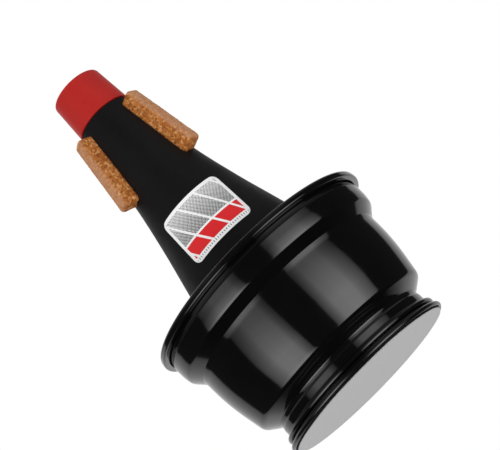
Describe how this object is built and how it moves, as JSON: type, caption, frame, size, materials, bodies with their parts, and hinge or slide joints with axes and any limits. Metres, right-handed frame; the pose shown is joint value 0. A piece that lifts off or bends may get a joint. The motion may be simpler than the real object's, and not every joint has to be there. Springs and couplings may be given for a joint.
{
  "type": "trumpet cup mute",
  "caption": "Trumpet cup mute: hollow cone with throat collar and cork strips, closed by a drum and base plate, and a cup that slides and turns on the drum.",
  "frame": {"origin": "middle of the base plate's outer face, which is the middle of the bottom of the bounding box", "axes": "+Z along the mute's axis from the base plate to the throat collar, -Y through the middle of the label"},
  "size_m": [0.1116, 0.1116, 0.1803],
  "materials": {
    "black_fibre": "matte",
    "red_plastic": "satin",
    "cork": "matte",
    "black_lacquer": "gloss",
    "plate_metal": "satin",
    "label_film": "satin",
    "felt": "matte"
  },
  "bodies": {
    "mute": {"base_plate": "plate_metal", "base_ring": "black_lacquer", "base_drum": "black_lacquer", "cone_shell": "black_fibre", "throat_collar": "red_plastic", "cork_strip_back": "cork", "cork_strip_left": "cork", "cork_strip_right": "cork", "label": "label_film"},
    "sleeve": {"grip_sleeve": "felt"},
    "cup": {"cup_shell": "black_lacquer"}
  },
  "joints": [
    {"name": "cup_slide", "type": "slide", "parent": "mute", "child": "sleeve", "axis": [0, 0, 1], "range_m": [0, 0.02]},
    {"name": "cup_turn", "type": "hinge", "parent": "sleeve", "child": "cup", "pos_m": [0, 0, 0.01], "axis": [0, 0, 1], "continuous": true}
  ]
}
